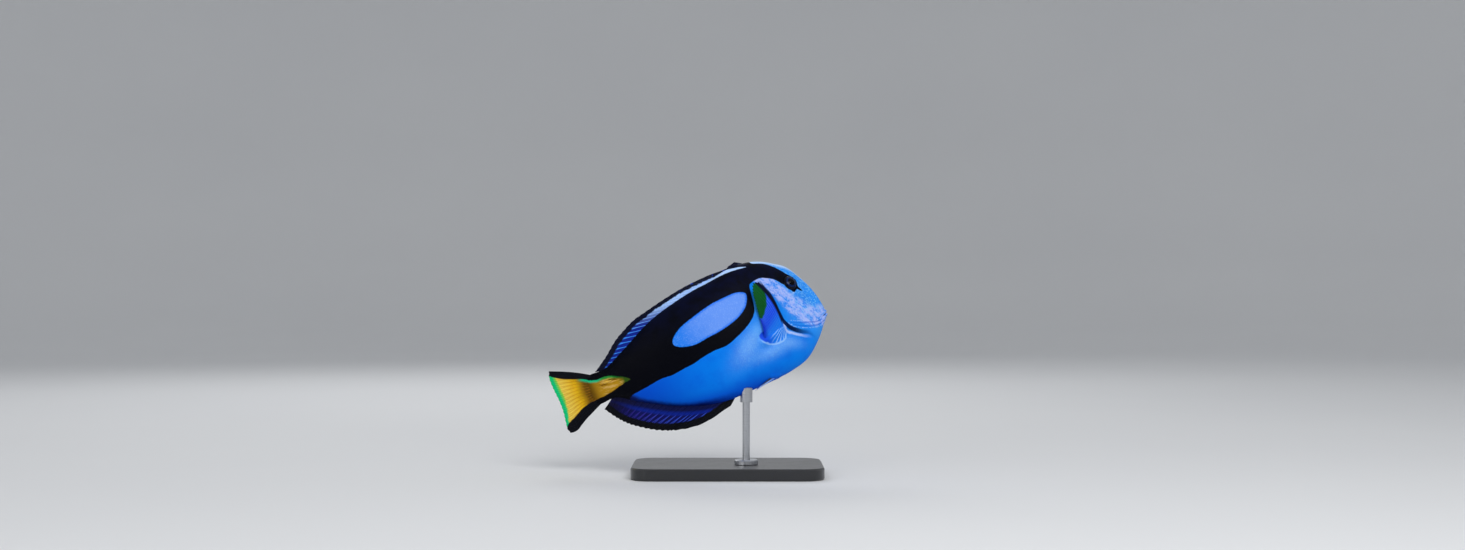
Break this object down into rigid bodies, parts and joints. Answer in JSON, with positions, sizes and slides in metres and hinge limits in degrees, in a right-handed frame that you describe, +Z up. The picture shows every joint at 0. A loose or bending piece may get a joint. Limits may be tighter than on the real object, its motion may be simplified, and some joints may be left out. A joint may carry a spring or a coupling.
{
  "type": "regal blue tang on display stand",
  "caption": "Life-size regal blue tang swimming in a gentle bend, pectoral fins raised, held up by one rod on a flat rounded base.",
  "frame": {"origin": "middle of the underside of the stand's base", "axes": "+Z up, the fish's nose towards +X, its right side towards -Y"},
  "size_m": [0.1915, 0.08, 0.1438],
  "materials": {
    "skin_blue": "satin fish skin, azure with navy markings",
    "skin_yellow": "satin fish skin, golden yellow",
    "fin_dark": "thin rayed fin, deep blue with a black edge",
    "fin_green": "thin rayed fin, blue at the root and green beyond",
    "fin_pale": "pale blue fin and spine",
    "eye": "wet, glossy, near black",
    "stand_black": "satin black",
    "stand_steel": "fine brushed steel"
  },
  "bodies": {
    "root": {"head": "skin_blue", "trunk": "skin_blue", "tail_stalk": "skin_yellow", "dorsal_fin": "fin_dark", "anal_fin": "fin_dark", "caudal_fin": "skin_yellow", "pectoral_fin_right": "fin_green", "pectoral_fin_left": "fin_green", "pelvic_fin_right": "fin_pale", "pelvic_fin_left": "fin_pale", "eye_right": "eye", "eye_left": "eye", "tail_spine_right": "fin_pale", "tail_spine_left": "fin_pale", "stand_base": "stand_black", "stand_rod": "stand_steel", "stand_foot_ring": "stand_steel", "stand_cup": "stand_steel"}
  },
  "joints": []
}
